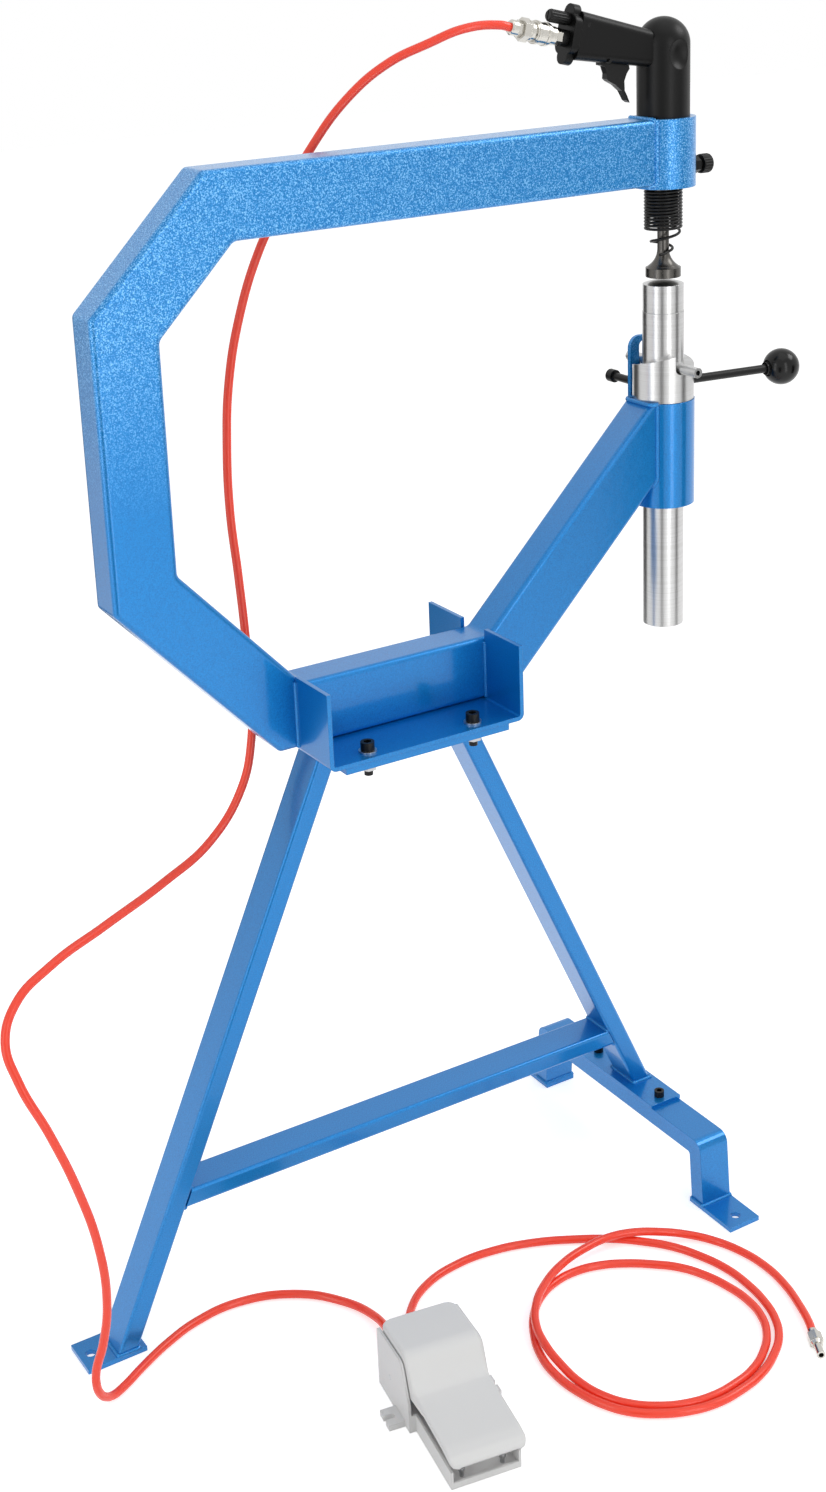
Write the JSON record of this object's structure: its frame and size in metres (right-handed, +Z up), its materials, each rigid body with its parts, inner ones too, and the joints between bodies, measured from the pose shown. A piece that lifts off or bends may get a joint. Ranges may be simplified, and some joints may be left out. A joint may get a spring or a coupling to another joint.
{
  "type": "pneumatic planishing hammer",
  "caption": "C-frame planishing hammer on a bolted stand, with an air hammer above, a cam-lifted anvil post below and a foot pedal on air hoses.",
  "frame": {"origin": "on the floor at the centre of the foot bar, midway between its two anchor holes", "axes": "+X towards the hammer side, -Y towards the pedal and the user, +Z up"},
  "size_m": [1.1167, 0.7156, 1.4863],
  "materials": {
    "blue_powder_coat": "glossy metallic powder coat",
    "black_screws": "black oxide",
    "zinc_steel": "zinc plated",
    "black_housing": "satin black paint on cast steel",
    "black_parts": "black paint",
    "dark_steel": "oiled steel",
    "polished_steel": "turned and polished",
    "black_spring": "black spring steel",
    "nickel_fittings": "nickel plated",
    "knob_plastic": "polished phenolic",
    "grey_pedal": "light grey enamel",
    "valve_body": "anodised",
    "red_hose": "glossy polyurethane"
  },
  "bodies": {
    "frame": {"upper_arm_tube": "blue_powder_coat", "upper_corner_tube": "blue_powder_coat", "column_tube": "blue_powder_coat", "lower_corner_tube": "blue_powder_coat", "bottom_beam_tube": "blue_powder_coat", "lower_arm_tube": "blue_powder_coat", "hammer_collar": "blue_powder_coat", "anvil_boss": "blue_powder_coat", "pin_guide": "blue_powder_coat", "saddle_plate": "blue_powder_coat", "saddle_bolts": "black_screws", "saddle_washers": "zinc_steel", "saddle_nuts": "zinc_steel", "stand_top_plate": "blue_powder_coat", "left_leg": "blue_powder_coat", "right_leg": "blue_powder_coat", "stand_crossbar": "blue_powder_coat", "left_foot_plate": "blue_powder_coat", "joint_plate": "blue_powder_coat", "foot_bar": "blue_powder_coat", "foot_bar_plates": "blue_powder_coat", "joint_bolts": "black_screws", "joint_nuts": "zinc_steel", "hammer_housing": "black_housing", "handle_end_plate": "black_housing", "inlet_bush": "black_parts", "trigger_pin": "zinc_steel", "handle_roll_pin": "zinc_steel", "throttle_spring": "zinc_steel", "hammer_cylinder": "dark_steel", "coupler_plug": "nickel_fittings", "coupler_body": "nickel_fittings", "hose_nut": "nickel_fittings", "hammer_clamp_screw": "black_screws", "clamp_screw_nut": "black_screws", "cam_lock_screw": "black_screws", "pedal_base": "grey_pedal", "pedal_pin": "zinc_steel", "pedal_valve": "valve_body", "pedal_spring": "zinc_steel", "pedal_stop_screws": "zinc_steel", "hose_fittings": "valve_body", "hammer_hose": "red_hose", "supply_hose": "red_hose", "supply_connector": "nickel_fittings"},
    "cam": {"cam_collar": "polished_steel", "cam_lever": "black_parts", "ball_knob": "knob_plastic"},
    "anvil": {"anvil_post": "polished_steel", "lower_die": "polished_steel", "cross_pin": "polished_steel"},
    "die": {"upper_die": "dark_steel", "retainer_spring": "black_spring"},
    "trigger": {"trigger": "black_parts"},
    "throttle": {"throttle_valve": "zinc_steel"},
    "regulator": {"regulator_knob": "black_parts"},
    "piston": {"piston": "polished_steel"},
    "sleeve": {"coupler_sleeve": "nickel_fittings"},
    "pedal": {"pedal_cover": "grey_pedal"},
    "plunger": {"pedal_plunger": "zinc_steel"}
  },
  "joints": [
    {"name": "cam_turn", "type": "hinge", "parent": "frame", "child": "cam", "pos_m": [0.058, 0, 1.0153], "axis": [0, 0, 1], "range_deg": [-120, 0]},
    {"name": "anvil_lift", "type": "slide", "parent": "frame", "child": "anvil", "axis": [0, 0, 1], "range_m": [0, 0.0161]},
    {"name": "upper_die_lift", "type": "slide", "parent": "frame", "child": "die", "axis": [0, 0, 1], "range_m": [0, 0.0161], "deforming": ["retainer_spring"]},
    {"name": "trigger_pull", "type": "hinge", "parent": "frame", "child": "trigger", "pos_m": [-0.03, 0, 1.419], "axis": [0, -1, 0], "range_deg": [0, 10], "stiffness_Nm_per_rad": 1, "springref_deg": -11.46},
    {"name": "throttle_lift", "type": "slide", "parent": "frame", "child": "throttle", "axis": [0, 0, 1], "range_m": [0, 0.0043], "deforming": ["throttle_spring"]},
    {"name": "regulator_turn", "type": "hinge", "parent": "frame", "child": "regulator", "pos_m": [-0.08589, 0, 1.47009], "axis": [-0.9744, 0, 0.225], "range_deg": [0, 270]},
    {"name": "piston_stroke", "type": "slide", "parent": "frame", "child": "piston", "axis": [0, 0, 1], "range_m": [0, 0.05]},
    {"name": "coupler_sleeve_slide", "type": "slide", "parent": "frame", "child": "sleeve", "axis": [-0.9744, 0, 0.225], "range_m": [0, 0.005], "stiffness_N_per_m": 1500, "springref_m": -0.004},
    {"name": "pedal_press", "type": "hinge", "parent": "frame", "child": "pedal", "pos_m": [-0.48353, -0.26685, 0.034], "axis": [0.9877, -0.1564, 0], "range_deg": [0, 5], "stiffness_Nm_per_rad": 20, "springref_deg": -8.59},
    {"name": "plunger_press", "type": "slide", "parent": "frame", "child": "plunger", "axis": [0, 0, -1], "range_m": [0, 0.0023], "deforming": ["pedal_spring"]}
  ],
  "couplings": [
    {"joint": "anvil_lift", "follows": "cam_turn", "m_per_rad": -0.0076394},
    {"joint": "upper_die_lift", "follows": "cam_turn", "m_per_rad": -0.0076394},
    {"joint": "throttle_lift", "follows": "trigger_pull", "m_per_rad": 0.024},
    {"joint": "plunger_press", "follows": "pedal_press", "m_per_rad": 0.025}
  ]
}
